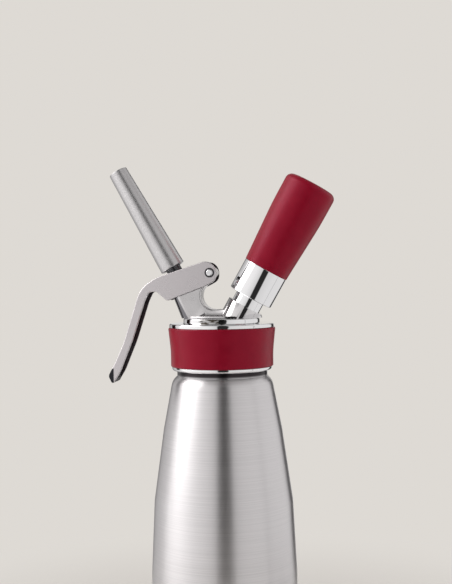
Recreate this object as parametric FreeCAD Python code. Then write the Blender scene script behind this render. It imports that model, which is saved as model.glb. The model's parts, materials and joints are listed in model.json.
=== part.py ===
import FreeCAD, Part
import math
import os

# A one-litre steel whipping siphon: a bottle, a screwed-on head with a silicone grip band,
# a cast bridge with a lever-worked valve leaning left, and a gas charger holder leaning right.
# Millimetres. Origin at the middle of the bottle's foot, +Z up, +X towards the charger holder,
# -Y towards the front.

V = FreeCAD.Vector
UP = V(0, 0, 1)

# How far a cutting shape runs past the face that it opens
MARGIN = 1.0

# Bottle
BODY_R = 47.0
WALL = 1.0
FOOT_INNER_R = 38.0
FOOT_RECESS = 3.0
FOOT_ROUND = 6.0
BODY_TOP_Z = 115.0
BODY_BLEND = 500.0
SHOULDER_R = 31.5
SHOULDER_TOP_Z = 197.0
SHOULDER_ROUND = 9.5
NECK_ROOT = 2.8
NECK_R = 29.2
NECK_WALL = 2.0
NECK_TOP_Z = 224.2
NECK_LIP = 0.6

# Screwed-on head: cap, grip band and gasket
LID_TOP_Z = 229.0
LID_PLATE = 2.7
LID_RIM_R = 34.0
RIM_ROUND = 0.9
SKIRT_R = 31.2
SKIRT_FOOT_Z = 198.8
LOWER_RING_R = 32.4
LOWER_RING_H = 2.5
LOWER_RING_ROUND = 1.6
NECK_CLEARANCE = 0.3
BAND_TOP_R = 34.8
BAND_R = 33.2
BAND_FLARE_H = 15.0
BAND_CLEARANCE = 0.05
GASKET_W = 3.6
GASKET_GAP = 0.3
BOSS_R = 24.8
BOSS_H = 3.4
BOSS_ROUND = 1.0

# Valve side: everything here stands on an axis that leans left from the lid's top plane
VALVE_X = -11.2
VALVE_LEAN = 29.5
STEM_R = 3.5
STEM_BORE_R = 2.0
RUNNING_FIT = 0.05
GUIDE_FLOOR = 14.0
TOWER_TOP = 26.0
TOWER_LEFT = 11.1
TOWER_TOP_LEFT = 8.8
TOWER_RIGHT = 8.0
TOWER_HALF_T = 6.7
TOWER_ROUND = 4.9
SPRING_POCKET_R = 5.2
SPRING_WIRE_R = 0.5
SPRING_MEAN_R = 4.4
SPRING_TURNS = 5
SPRING_SEAT_GAP = 0.1
COLLAR_R = 6.0
COLLAR_H = 2.6
COLLAR_GAP = 0.5
SEAL_SECTION = 1.5
SEAL_GAP = 0.1
SEAL_HEIGHTS = (-5.5, -1.0)
SPIGOT_R = 8.0
SPIGOT_FOOT = -11.0
NUT_R = 10.5
NUT_FOOT = -14.0
NUT_CHAMBER_R = 5.4
WASHER_R = 6.6
WASHER_H = 2.2
WASHER_GAP = 0.05
VALVE_HEAD_H = 2.0
CROSS_HOLE_R = 1.3
ADAPTER_R = 4.9
ADAPTER_FOOT = 37.0
ADAPTER_THREAD_R = 6.1
ADAPTER_TOP = 54.0
STEM_TOP = 47.0

# Decorator tip
TIP_FOOT = 41.7
TIP_LENGTH = 73.0
TIP_FOOT_R = 8.2
TIP_TOP_R = 6.25
TIP_WALL = 0.9
TIP_MOUTH_R = 4.6
TIP_FIT = 0.15
TIP_SEAL_R = 0.6

# Lever
PIN_OFFSET = 20.2
PIN_HEIGHT = 26.2
PIN_R = 1.9
PIN_HEAD_R = 2.15
PIN_HEAD_H = 0.7
PIN_RING_R = 2.8
EAR_R = 4.2
CHEEK_GAP = 0.3
CHEEK = 1.5
WEB = 1.9
LEVER_TRAVEL = 10.0
LEVER_EDGE = 0.5
HANDLE_LIP_W = 5.2
HANDLE_LIP_DROP = 1.0
NOSE_R = 2.3
NOSE_GAP = 0.3
NOSE_SIDE_GAP = 0.6
SLOT_HALF_W = 5.5
SLOT_LEFT = 5.6
SLOT_RIGHT = 8.0
SLOT_DEPTH = 12.0

# Cast bridge between the tower and the charger boss
BRIDGE_TOP_Z = 238.0
BRIDGE_PAST_BOSS = 2.0
EAR_ROOT_ROUND = 3.0
SCOOP_X = -3.7
SCOOP_R = 8.8
EDGE_ROUND = 1.1
PAD_LEFT_X = -23.0
PAD_RIGHT_X = 26.3
PAD_HALF_W = 13.0
PAD_H = 1.4
PAD_ROUND = 0.8

# Charger side: everything here stands on an axis that leans right from the lid's top plane
CHARGER_X = 9.6
CHARGER_LEAN = 29.5
CHARGER_BOSS_R = 12.0
CHARGER_BOSS_TOP = 12.6
STUB_R = 9.7
STUB_TOP = 34.0
STUB_SPIGOT_R = 7.0
STUB_SPIGOT_FOOT = 8.5
STUB_CLEARANCE = 0.05
GAS_BORE_R = 1.6
GAS_PASSAGE = 4.0
CHARGER_NECK_BORE_R = 5.0
CHARGER_SEAT = 26.4
CHARGER_SEAL_H = 1.8
PIERCE_R = 1.1
PIERCE_FLANGE_R = 3.4
PIERCE_FLANGE_H = 2.0
PIERCE_BORE_R = 0.5
PIERCE_TIP = 30.6
GAS_PORT_X = 12.3
GAS_SCREW_R = 3.0
GAS_SCREW_TOP_Z = 234.0
GAS_SCREW_HEAD_R = 6.3
GAS_SCREW_HEAD_H = 4.0
GAS_SCREW_BORE_R = 1.0
RETURN_CAP_R = 3.0
RETURN_CAP_H = 4.5

# Charger and its holder
BULB_GAP = 0.3
BULB_R = 8.9
BULB_LENGTH = 66.0
BULB_NECK_R = 4.3
BULB_NECK_LENGTH = 9.0
BULB_SHOULDER_LENGTH = 6.0
BULB_WALL = 1.8
BULB_HEAD_GAP = 1.8
HOLDER_FOOT = 19.1
HOLDER_COLLAR_R = 14.75
HOLDER_COLLAR_H = 20.7
HOLDER_TUBE_R = 12.2
HOLDER_END_T = 3.2
HOLDER_THREAD_GAP = 0.3
HOLDER_BORE_GAP = 0.4
HOLDER_EDGE = 0.5
GRIP_FOOT_R = 14.9
GRIP_WAIST_R = 17.2
GRIP_WAIST_H = 40.0
GRIP_TOP_R = 17.3
GRIP_ROUND = 4.2
GRIP_END_T = 2.6

# Worked out from the sizes above
PLATE_FOOT_Z = LID_TOP_Z + BOSS_H
LID_UNDER_Z = LID_TOP_Z - LID_PLATE
CHEEK_INNER = TOWER_HALF_T + CHEEK_GAP
LEVER_HALF_W = CHEEK_INNER + CHEEK
VALVE_STROKE = PIN_OFFSET * math.radians(LEVER_TRAVEL)
COLLAR_FOOT = TOWER_TOP + VALVE_STROKE + COLLAR_GAP
COLLAR_TOP = COLLAR_FOOT + COLLAR_H
NOSE_HEIGHT = COLLAR_TOP + NOSE_GAP + NOSE_R
WASHER_TOP = NUT_FOOT - WASHER_GAP
WASHER_FOOT = WASHER_TOP - WASHER_H
STEM_FOOT = WASHER_FOOT - VALVE_HEAD_H
BULB_FOOT = CHARGER_SEAT + CHARGER_SEAL_H + BULB_GAP
BULB_TOP = BULB_FOOT + BULB_LENGTH
HOLDER_TUBE_TOP = BULB_TOP + BULB_HEAD_GAP + HOLDER_END_T
GRIP_TOP = HOLDER_TUBE_TOP + GRIP_END_T


def at_valve(offset, height):
    """World X and Z of a point beside the valve axis and along it."""
    lean = math.radians(VALVE_LEAN)
    x = VALVE_X - height * math.sin(lean) + offset * math.cos(lean)
    z = LID_TOP_Z + height * math.cos(lean) + offset * math.sin(lean)
    return x, z


PIN_X, PIN_Z = at_valve(PIN_OFFSET, PIN_HEIGHT)
SCOOP_Z = BRIDGE_TOP_Z + SCOOP_R


def rounded_face(corners):
    """Face in the XZ plane through corners (x, z) or (x, z, corner radius)."""
    places = [V(corner[0], 0, corner[1]) for corner in corners]
    edges = []
    starts = []
    ends = []
    arcs = []
    for i, place in enumerate(places):
        radius = corners[i][2] if len(corners[i]) > 2 else 0
        back = (places[i - 1] - place).normalize()
        on = (places[(i + 1) % len(places)] - place).normalize()
        if radius == 0:
            starts.append(place)
            ends.append(place)
            arcs.append(None)
            continue
        half = back.getAngle(on) / 2
        setback = radius / math.tan(half)
        start = place + back * setback
        end = place + on * setback
        inward = (back + on).normalize()
        crown = place + inward * (radius / math.sin(half) - radius)
        starts.append(start)
        ends.append(end)
        arcs.append(Part.Arc(start, crown, end).toShape())
    for i, arc in enumerate(arcs):
        if arc:
            edges.append(arc)
        following = starts[(i + 1) % len(starts)]
        if (ends[i] - following).Length > 1e-6:
            edges.append(Part.makeLine(ends[i], following))
    return Part.Face(Part.Wire(edges))


def turned(corners):
    """Solid of revolution about Z from (radius, height) corners."""
    return rounded_face(corners).revolve(V(), UP, 360)


def plate(corners, half_thickness):
    """Flat solid of an XZ outline, centred on Y = 0."""
    face = rounded_face(corners)
    face.translate(V(0, -half_thickness, 0))
    return face.extrude(V(0, 2 * half_thickness, 0))


def rod(radius, low, high):
    return Part.makeCylinder(radius, high - low, V(0, 0, low))


def tube(outer, inner, low, high):
    return rod(outer, low, high).cut(rod(inner, low, high))


def ring(middle_r, section_r, height):
    return Part.makeTorus(middle_r, section_r, V(0, 0, height))


def on_valve(shape):
    """Moves a shape made about Z from height 0 onto the leaning valve axis."""
    shape.Placement = FreeCAD.Placement(V(VALVE_X, 0, LID_TOP_Z), FreeCAD.Rotation(V(0, 1, 0), -VALVE_LEAN))
    return shape


def on_charger(shape):
    """Moves a shape made about Z from height 0 onto the leaning charger axis."""
    shape.Placement = FreeCAD.Placement(V(CHARGER_X, 0, LID_TOP_Z), FreeCAD.Rotation(V(0, 1, 0), CHARGER_LEAN))
    return shape


def below(height):
    """Half space under a level plane, as a large block."""
    size = 400
    return Part.makeBox(size, size, size, V(-size / 2, -size / 2, height - size))


def shoulder_line(inset):
    """Upper corners of the bottle's body, or of the hollow a wall inside it."""
    return [
        (BODY_R - inset, BODY_TOP_Z, BODY_BLEND),
        (SHOULDER_R - inset, SHOULDER_TOP_Z - inset, SHOULDER_ROUND - inset),
        (0, SHOULDER_TOP_Z - inset),
    ]


def bottle():
    """Deep-drawn body on a foot ring, tapering to a round shoulder, with the neck set into it."""
    foot = [
        (0, FOOT_RECESS),
        (FOOT_INNER_R - FOOT_RECESS, FOOT_RECESS, 2),
        (FOOT_INNER_R, 0, 0.8),
        (BODY_R, 0, FOOT_ROUND),
    ]
    floor = FOOT_RECESS + WALL
    inner_foot = [(0, floor), (BODY_R - WALL, floor, FOOT_ROUND - WALL)]
    body = turned(foot + shoulder_line(0)).cut(turned(inner_foot + shoulder_line(WALL)))
    neck_foot = SHOULDER_TOP_Z - NECK_ROOT
    neck_inner = NECK_R - NECK_WALL
    neck = turned([
        (0, neck_foot),
        (NECK_R, neck_foot),
        (NECK_R, NECK_TOP_Z, NECK_LIP),
        (0, NECK_TOP_Z),
    ])
    return body.fuse(neck).cut(rod(neck_inner, neck_foot - SHOULDER_ROUND, NECK_TOP_Z + MARGIN))


def lid_cap():
    """Turned steel cap: rim, skirt with a lower ring, and a low boss for the bridge."""
    skirt_inner = NECK_R + NECK_CLEARANCE
    profile = [
        (0, LID_UNDER_Z),
        (skirt_inner, LID_UNDER_Z),
        (skirt_inner, SKIRT_FOOT_Z),
        (LOWER_RING_R, SKIRT_FOOT_Z, LOWER_RING_ROUND),
        (LOWER_RING_R, SKIRT_FOOT_Z + LOWER_RING_H, 0.3),
        (SKIRT_R, SKIRT_FOOT_Z + LOWER_RING_H),
        (SKIRT_R, LID_UNDER_Z),
        (LID_RIM_R, LID_UNDER_Z, 0.4),
        (LID_RIM_R, LID_TOP_Z, RIM_ROUND),
        (BOSS_R, LID_TOP_Z, 0.8),
        (BOSS_R, PLATE_FOOT_Z, BOSS_ROUND),
        (0, PLATE_FOOT_Z),
    ]
    cap = turned(profile)
    cap = cap.cut(on_valve(rod(SPIGOT_R + STUB_CLEARANCE, 2 * SPIGOT_FOOT, -2 * SPIGOT_FOOT)))
    return cap.cut(gas_hole(LID_UNDER_Z - MARGIN, PLATE_FOOT_Z + MARGIN))


def gas_hole(low, high):
    """Upright hole for the hollow gas screw."""
    hole = rod(GAS_SCREW_R + STUB_CLEARANCE, low, high)
    hole.translate(V(GAS_PORT_X, 0, 0))
    return hole


def grip_band():
    foot = SKIRT_FOOT_Z + LOWER_RING_H + BAND_CLEARANCE
    top = LID_UNDER_Z - BAND_CLEARANCE
    inner = SKIRT_R + BAND_CLEARANCE
    profile = [
        (inner, foot),
        (BAND_R, foot, 0.7),
        (BAND_R, top - BAND_FLARE_H, 60),
        (BAND_TOP_R, top, 0.8),
        (inner, top),
    ]
    return turned(profile)


def head_gasket():
    return tube(NECK_R, NECK_R - GASKET_W, NECK_TOP_Z + GASKET_GAP, LID_UNDER_Z)


def tower_left_side():
    """Foot and top of the tower's left side, as (x, z). It closes in a little towards the top."""
    x, z = at_valve(-TOWER_LEFT, TOWER_TOP)
    slope = math.tan(math.radians(VALVE_LEAN))
    return (x + (z - PLATE_FOOT_Z) * slope, PLATE_FOOT_Z), at_valve(-TOWER_TOP_LEFT, TOWER_TOP)


def bridge_outline():
    """Front outline of the cast plate: tower, ear round the lever pin, and low bridge."""
    foot_left, top_left = tower_left_side()
    ear_round = EAR_R * 0.99
    ear_left = PIN_X - EAR_R
    ear_right = PIN_X + EAR_R
    bridge_end = CHARGER_X + BRIDGE_PAST_BOSS
    return [
        foot_left,
        top_left,
        at_valve(TOWER_RIGHT, TOWER_TOP) + (EAR_ROOT_ROUND,),
        (ear_left, PIN_Z + EAR_R, ear_round),
        (ear_right, PIN_Z + EAR_R, ear_round),
        (ear_right, PIN_Z - EAR_R, ear_round),
        (PIN_X, PIN_Z - EAR_R),
        (SCOOP_X, SCOOP_Z),
        (SCOOP_X, BRIDGE_TOP_Z),
        (bridge_end, BRIDGE_TOP_Z),
        (bridge_end, PLATE_FOOT_Z),
    ]


def is_tower_edge(edge):
    """Left corner edges of the tower, front and back."""
    ends = sorted((vertex.Point.z, vertex.Point.x) for vertex in edge.Vertexes)
    foot, top = tower_left_side()
    misses = [abs(z - side[1]) + abs(x - side[0]) for (z, x), side in zip(ends, (foot, top))]
    return max(misses) < 0.01


def is_bridge_edge(edge):
    """Long top edges of the low bridge, front and back."""
    box = edge.BoundBox
    level = abs(box.ZMin - BRIDGE_TOP_Z) < 0.01 and abs(box.ZMax - BRIDGE_TOP_Z) < 0.01
    return level and box.YLength < 0.01 and box.XMin > SCOOP_X - 0.01


def scoop_cutter():
    """Finger scoop between tower and bridge, flared at both faces so that its edges come out round."""
    flare = SCOOP_R + 2 * EDGE_ROUND
    profile = [
        (0, -TOWER_HALF_T - MARGIN),
        (flare, -TOWER_HALF_T - MARGIN),
        (flare, -TOWER_HALF_T),
        (SCOOP_R, -TOWER_HALF_T, EDGE_ROUND),
        (SCOOP_R, TOWER_HALF_T, EDGE_ROUND),
        (flare, TOWER_HALF_T),
        (flare, TOWER_HALF_T + MARGIN),
        (0, TOWER_HALF_T + MARGIN),
    ]
    cutter = turned(profile)
    cutter.Placement = FreeCAD.Placement(V(SCOOP_X, 0, SCOOP_Z), FreeCAD.Rotation(V(1, 0, 0), 90))
    return cutter


def bridge_pad():
    """Oval foot of the casting, lying on the lid's boss."""
    half_length = (PAD_RIGHT_X - PAD_LEFT_X) / 2
    middle = V((PAD_LEFT_X + PAD_RIGHT_X) / 2, 0, PLATE_FOOT_Z)
    oval = Part.Ellipse(middle, half_length, PAD_HALF_W).toShape()
    pad = Part.Face(Part.Wire(oval)).extrude(V(0, 0, PAD_H))
    top = [edge for edge in pad.Edges if edge.BoundBox.ZMin > PLATE_FOOT_Z + PAD_H - 0.01]
    return pad.makeFillet(PAD_ROUND, top)


def valve_bridge():
    """Casting with the valve tower, the lever's ear, the low bridge and the charger boss."""
    web = plate(bridge_outline(), TOWER_HALF_T)
    web = web.makeFillet(TOWER_ROUND, [edge for edge in web.Edges if is_tower_edge(edge)])
    web = web.makeFillet(EDGE_ROUND, [edge for edge in web.Edges if is_bridge_edge(edge)])
    web = web.cut(scoop_cutter())
    boss = on_charger(rod(CHARGER_BOSS_R, -CHARGER_BOSS_R, CHARGER_BOSS_TOP))
    boss = boss.cut(below(PLATE_FOOT_Z))
    body = bridge_pad().fuse([web, boss])
    spigot = on_valve(rod(SPIGOT_R, SPIGOT_FOOT, -SPIGOT_FOOT / 2))
    body = body.fuse(spigot)
    body = body.cut(on_valve(rod(STEM_R + RUNNING_FIT, SPIGOT_FOOT - MARGIN, TOWER_TOP + MARGIN)))
    body = body.cut(on_valve(rod(SPRING_POCKET_R, GUIDE_FLOOR, 2 * TOWER_TOP)))
    for height in SEAL_HEIGHTS:
        body = body.cut(on_valve(seal_groove(height)))
    body = body.cut(on_charger(rod(STUB_SPIGOT_R + STUB_CLEARANCE, STUB_SPIGOT_FOOT, CHARGER_BOSS_TOP + MARGIN)))
    body = body.cut(on_charger(rod(GAS_BORE_R, STUB_SPIGOT_FOOT - GAS_PASSAGE, STUB_SPIGOT_FOOT + MARGIN)))
    body = body.cut(gas_hole(PLATE_FOOT_Z - MARGIN, GAS_SCREW_TOP_Z + STUB_CLEARANCE))
    hole = Part.makeCylinder(PIN_R, 4 * TOWER_HALF_T, V(PIN_X, -2 * TOWER_HALF_T, PIN_Z), V(0, 1, 0))
    return body.cut(hole).removeSplitter()


def seal_groove(height):
    return rod(STEM_R + RUNNING_FIT + SEAL_SECTION + SEAL_GAP, height - SEAL_SECTION / 2, height + SEAL_SECTION / 2)


def stem_seals():
    section = SEAL_SECTION / 2 - 0.02
    rings = [on_valve(ring(STEM_R + RUNNING_FIT + SEAL_SECTION / 2, section, height)) for height in SEAL_HEIGHTS]
    return Part.makeCompound(rings)


def valve_nut():
    """Nut inside the head: clamps the casting to the lid and carries the valve's seat lip."""
    nut = on_valve(rod(NUT_R, NUT_FOOT, -NUT_FOOT)).common(below(LID_UNDER_Z))
    nut = nut.cut(on_valve(rod(SPIGOT_R + STUB_CLEARANCE, SPIGOT_FOOT - RUNNING_FIT, -NUT_FOOT)))
    nut = nut.cut(on_valve(rod(NUT_CHAMBER_R, NUT_FOOT - MARGIN, SPIGOT_FOOT + MARGIN)))
    return nut


def valve_stem():
    """Hollow stem: closed valve head at its foot, two cross holes above it, threaded top."""
    profile = [
        (0, STEM_FOOT),
        (WASHER_R, STEM_FOOT, 0.6),
        (WASHER_R, WASHER_FOOT, 0.4),
        (STEM_R, WASHER_FOOT),
        (STEM_R, STEM_TOP, 0.4),
        (STEM_BORE_R, STEM_TOP),
        (STEM_BORE_R, WASHER_TOP - 0.5),
        (0, WASHER_TOP - 0.5 - STEM_BORE_R),
    ]
    stem = turned(profile)
    middle = (WASHER_TOP + SPIGOT_FOOT) / 2
    for axis in (V(1, 0, 0), V(0, 1, 0)):
        stem = stem.cut(Part.makeCylinder(CROSS_HOLE_R, 4 * STEM_R, axis * (-2 * STEM_R) + UP * middle, axis))
    return on_valve(stem)


def valve_washer():
    return on_valve(tube(WASHER_R, STEM_R, WASHER_FOOT, WASHER_TOP))


def thrust_collar():
    profile = [
        (STEM_R, COLLAR_FOOT),
        (COLLAR_R, COLLAR_FOOT, 0.4),
        (COLLAR_R, COLLAR_TOP, 0.4),
        (STEM_R, COLLAR_TOP),
    ]
    return on_valve(turned(profile))


def tip_adapter():
    """Threaded adapter on the stem: passes the lever's slot and carries the tip."""
    seat = TIP_FOOT + TIP_SEAL_R * 2 + 0.4
    profile = [
        (STEM_R, ADAPTER_FOOT),
        (ADAPTER_R, ADAPTER_FOOT, 0.4),
        (ADAPTER_R, seat),
        (ADAPTER_THREAD_R, seat + 0.2, 0.3),
        (ADAPTER_THREAD_R, ADAPTER_TOP, 0.8),
        (STEM_BORE_R, ADAPTER_TOP),
        (STEM_BORE_R, STEM_TOP),
        (STEM_R, STEM_TOP),
    ]
    return on_valve(turned(profile))


def tip_seal():
    return on_valve(ring(ADAPTER_R + TIP_SEAL_R, TIP_SEAL_R - 0.02, TIP_FOOT + TIP_SEAL_R + 0.2))


def decorator_tip():
    """Long tapered nozzle with a threaded foot and an open mouth."""
    top = TIP_FOOT + TIP_LENGTH
    socket = ADAPTER_THREAD_R + TIP_FIT
    profile = [
        (socket, TIP_FOOT, 0.5),
        (TIP_FOOT_R, TIP_FOOT, 0.6),
        (TIP_TOP_R, top, 0.5),
        (TIP_TOP_R - TIP_WALL, top, 0.4),
        (TIP_MOUTH_R, top - 6, 10),
        (TIP_MOUTH_R, ADAPTER_TOP + 4, 2),
        (socket, ADAPTER_TOP + 1),
    ]
    return on_valve(turned(profile))


def biarc(start, along_start, end, along_end):
    """Two tangent arcs that leave start and reach end along the given directions."""
    span = end - start
    lean = along_start + along_end
    spread = 4 - lean.dot(lean)
    cross = span.dot(lean)
    reach = (math.sqrt(cross * cross + span.dot(span) * spread) - cross) / spread
    knees = [start + along_start * reach, end - along_end * reach]
    middle = (knees[0] + knees[1]) * 0.5
    arcs = []
    for first, knee, last in ((start, knees[0], middle), (middle, knees[1], end)):
        chord = (first + last) * 0.5
        weight = (last - first).Length / (2 * reach)
        crown = chord + (knee - chord) * (weight / (1 + weight))
        arcs.append(Part.Arc(first, crown, last).toShape())
    return arcs


def helix_point(turn, low, pitch):
    angle = 2 * math.pi * turn
    place = V(SPRING_MEAN_R * math.cos(angle), SPRING_MEAN_R * math.sin(angle), low + pitch * turn)
    rise = pitch / (2 * math.pi)
    along = V(-SPRING_MEAN_R * math.sin(angle), SPRING_MEAN_R * math.cos(angle), rise).normalize()
    return place, along


def valve_spring():
    """Return spring: one wire wound round the stem, with straight ends one wire long."""
    low = GUIDE_FLOOR + SPRING_WIRE_R * 2 + SPRING_SEAT_GAP
    high = COLLAR_FOOT - SPRING_WIRE_R * 2 - SPRING_SEAT_GAP
    pitch = (high - low) / SPRING_TURNS
    quarter = 0.25
    count = int(SPRING_TURNS / quarter)
    stations = [helix_point(i * quarter, low, pitch) for i in range(count + 1)]
    first, first_along = stations[0]
    last, last_along = stations[-1]
    straight = SPRING_WIRE_R * 2
    edges = [Part.makeLine(first - first_along * straight, first)]
    for (start, leave), (end, arrive) in zip(stations, stations[1:]):
        edges += biarc(start, leave, end, arrive)
    edges.append(Part.makeLine(last, last + last_along * straight))
    path = Part.Wire(edges)
    circle = Part.Wire(Part.makeCircle(SPRING_WIRE_R, first - first_along * straight, first_along))
    wire = path.makePipeShell([circle], True, False)
    print("spring least gap", round(least_gap(path, pitch), 2))
    return on_valve(wire)


def least_gap(path, pitch):
    """Least distance between the wire's surface and itself, past half a turn along it."""
    spots = path.discretize(Number=240)
    step = path.Length / (len(spots) - 1)
    apart = int(math.pi * SPRING_MEAN_R / step)
    nearest = pitch * SPRING_TURNS
    for i, spot in enumerate(spots):
        for other in spots[i + apart:]:
            nearest = min(nearest, (other - spot).Length)
    return nearest - 2 * SPRING_WIRE_R


# Side outline of the lever, in steps from the pin's centre with the round of each corner:
# the outer edge from the pivot end over the bend and down the handle
LEVER_OUTER = [
    (4.3, 9.9, 7.3),
    (-35.0, -2.8, 30.0),
    (-45.5, -9.6, 19.0),
    (-56.9, -45.2, 70.0),
    (-62.1, -56.8, 40.0),
    (-67.3, -66.4, 3.2),
]
# and back up the open side, past the chin below the cheeks
LEVER_INNER = [
    (-64.4, -72.2, 1.2),
    (-59.1, -63.4, 25.0),
    (-51.1, -44.0, 80.0),
    (-42.7, -18.4, 14.0),
    (-39.7, -12.0, 3.2),
    (-34.7, -11.9, 3.0),
    (-27.9, -18.0, 2.0),
    (-2.5, -8.6, 30.0),
    (4.3, -4.9, 5.5),
]


def from_pin(corners):
    return [(PIN_X + x, PIN_Z + z, radius) for x, z, radius in corners]


def inset_path(corners, distance, start_x):
    """Open outline moved sideways by a distance, its first side run back to a given X."""
    moved = []
    for i in range(len(corners) - 1):
        start = V(corners[i][0], 0, corners[i][1])
        end = V(corners[i + 1][0], 0, corners[i + 1][1])
        along = (end - start).normalize()
        aside = V(-along.z, 0, along.x) * distance
        moved.append((start + aside, along))
    start, along = moved[0]
    inset = [(start_x, start.z + along.z * (start_x - start.x) / along.x)]
    for i in range(1, len(moved)):
        (a, u), (b, w) = moved[i - 1], moved[i]
        across = u.x * w.z - u.z * w.x
        reach = ((b.x - a.x) * w.z - (b.z - a.z) * w.x) / across
        spot = a + u * reach
        inset.append((spot.x, spot.z, max(corners[i][2] - distance, 0.5)))
    return inset


def lever():
    """Cast lever: a channel whose two cheeks straddle the tower and whose web is the handle's back."""
    outer = from_pin(LEVER_OUTER)
    body = plate(outer + from_pin(LEVER_INNER), LEVER_HALF_W)
    rim = [edge for edge in body.Edges if abs(edge.BoundBox.YLength) < 0.01]
    body = body.makeFillet(LEVER_EDGE, rim)
    end_x, end_z, _ = outer[-1]
    past_x = PIN_X + PIN_OFFSET
    past_z = end_z - HANDLE_LIP_W * 2
    hollow = inset_path(outer, WEB, past_x)
    hollow.append((end_x + HANDLE_LIP_W, end_z - HANDLE_LIP_DROP, 1.0))
    hollow.append((end_x + HANDLE_LIP_W * 2, past_z))
    hollow.append((past_x, past_z))
    body = body.cut(plate(hollow, CHEEK_INNER))
    noses = lever_nose(1).fuse(lever_nose(-1))
    body = body.fuse(noses)
    body = body.cut(lever_slot())
    hole = Part.makeCylinder(PIN_R + RUNNING_FIT, 4 * LEVER_HALF_W, V(PIN_X, -2 * LEVER_HALF_W, PIN_Z), V(0, 1, 0))
    return body.cut(hole)


def lever_nose(side):
    """Rounded rib inside a cheek that bears on the thrust collar."""
    x, z = at_valve(0, NOSE_HEIGHT)
    inner = STEM_R + NOSE_SIDE_GAP
    depth = CHEEK_INNER + CHEEK / 3 - inner
    return Part.makeCylinder(NOSE_R, depth, V(x, side * inner, z), V(0, side, 0))


def lever_slot():
    """Slot through the web for the tip adapter, long enough for the lever's swing."""
    low = NOSE_HEIGHT
    block = Part.makeBox(SLOT_LEFT + SLOT_RIGHT, 2 * SLOT_HALF_W, SLOT_DEPTH, V(-SLOT_LEFT, -SLOT_HALF_W, low))
    corners = [edge for edge in block.Edges if edge.BoundBox.ZLength > 1]
    return on_valve(block.makeFillet(SLOT_HALF_W - 0.1, corners))


def lever_pin():
    """Rivet: shank through both cheeks and the ear, with a domed head at each end."""
    half = LEVER_HALF_W + CHEEK_GAP / 2
    profile = [
        (0, -half - PIN_HEAD_H),
        (PIN_HEAD_R, -half - PIN_HEAD_H, 0.5),
        (PIN_HEAD_R, -half),
        (PIN_R, -half),
        (PIN_R, half),
        (PIN_HEAD_R, half),
        (PIN_HEAD_R, half + PIN_HEAD_H, 0.5),
        (0, half + PIN_HEAD_H),
    ]
    return across_at_pin(turned(profile))


def across_at_pin(shape):
    shape.Placement = FreeCAD.Placement(V(PIN_X, 0, PIN_Z), FreeCAD.Rotation(V(1, 0, 0), 90))
    return shape


def pin_washers():
    """Thin washers between each cheek and the ear."""
    low = TOWER_HALF_T
    gap = (CHEEK_GAP - 0.2) / 2
    washer = tube(PIN_RING_R, PIN_R, low, low + CHEEK_GAP - gap)
    other = tube(PIN_RING_R, PIN_R, -low - CHEEK_GAP + gap, -low)
    return Part.makeCompound([across_at_pin(washer), across_at_pin(other)])


def charger_stub():
    """Polished nipple that the charger holder screws onto, with its spigot through the lid."""
    profile = [
        (GAS_BORE_R, STUB_SPIGOT_FOOT),
        (STUB_SPIGOT_R, STUB_SPIGOT_FOOT, 0.5),
        (STUB_SPIGOT_R, CHARGER_BOSS_TOP),
        (STUB_R, CHARGER_BOSS_TOP),
        (STUB_R, STUB_TOP, 0.8),
        (CHARGER_NECK_BORE_R, STUB_TOP, 0.5),
        (CHARGER_NECK_BORE_R, CHARGER_SEAT),
        (PIERCE_FLANGE_R, CHARGER_SEAT),
        (PIERCE_FLANGE_R, CHARGER_SEAT - PIERCE_FLANGE_H),
        (GAS_BORE_R, CHARGER_SEAT - PIERCE_FLANGE_H),
    ]
    return on_charger(turned(profile))


def gas_screw():
    """Hollow screw from inside the head: holds the casting down and lets the gas through."""
    head_foot = LID_UNDER_Z - GAS_SCREW_HEAD_H
    profile = [
        (GAS_SCREW_BORE_R, head_foot),
        (GAS_SCREW_HEAD_R, head_foot, 0.4),
        (GAS_SCREW_HEAD_R, LID_UNDER_Z),
        (GAS_SCREW_R, LID_UNDER_Z),
        (GAS_SCREW_R, GAS_SCREW_TOP_Z, 0.3),
        (GAS_SCREW_BORE_R, GAS_SCREW_TOP_Z),
    ]
    screw = turned(profile)
    screw.translate(V(GAS_PORT_X, 0, 0))
    return screw


def non_return_cap():
    """Rubber cap under the gas screw that lets gas in and keeps cream out."""
    top = LID_UNDER_Z - GAS_SCREW_HEAD_H
    profile = [
        (0, top - RETURN_CAP_H),
        (RETURN_CAP_R * 0.6, top - RETURN_CAP_H, 0.6),
        (RETURN_CAP_R, top),
        (0, top),
    ]
    cap = turned(profile)
    cap.translate(V(GAS_PORT_X, 0, 0))
    return cap


def piercing_pin():
    """Hollow pin on a small flange, clamped under the charger's seal."""
    foot = CHARGER_SEAT - PIERCE_FLANGE_H
    profile = [
        (PIERCE_BORE_R, foot),
        (PIERCE_FLANGE_R - STUB_CLEARANCE, foot),
        (PIERCE_FLANGE_R - STUB_CLEARANCE, CHARGER_SEAT),
        (PIERCE_R, CHARGER_SEAT),
        (PIERCE_R, PIERCE_TIP - 1.2),
        (PIERCE_BORE_R, PIERCE_TIP),
    ]
    return on_charger(turned(profile))


def charger_seal():
    return on_charger(tube(CHARGER_NECK_BORE_R, PIERCE_R + STUB_CLEARANCE, CHARGER_SEAT, CHARGER_SEAT + CHARGER_SEAL_H))


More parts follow.
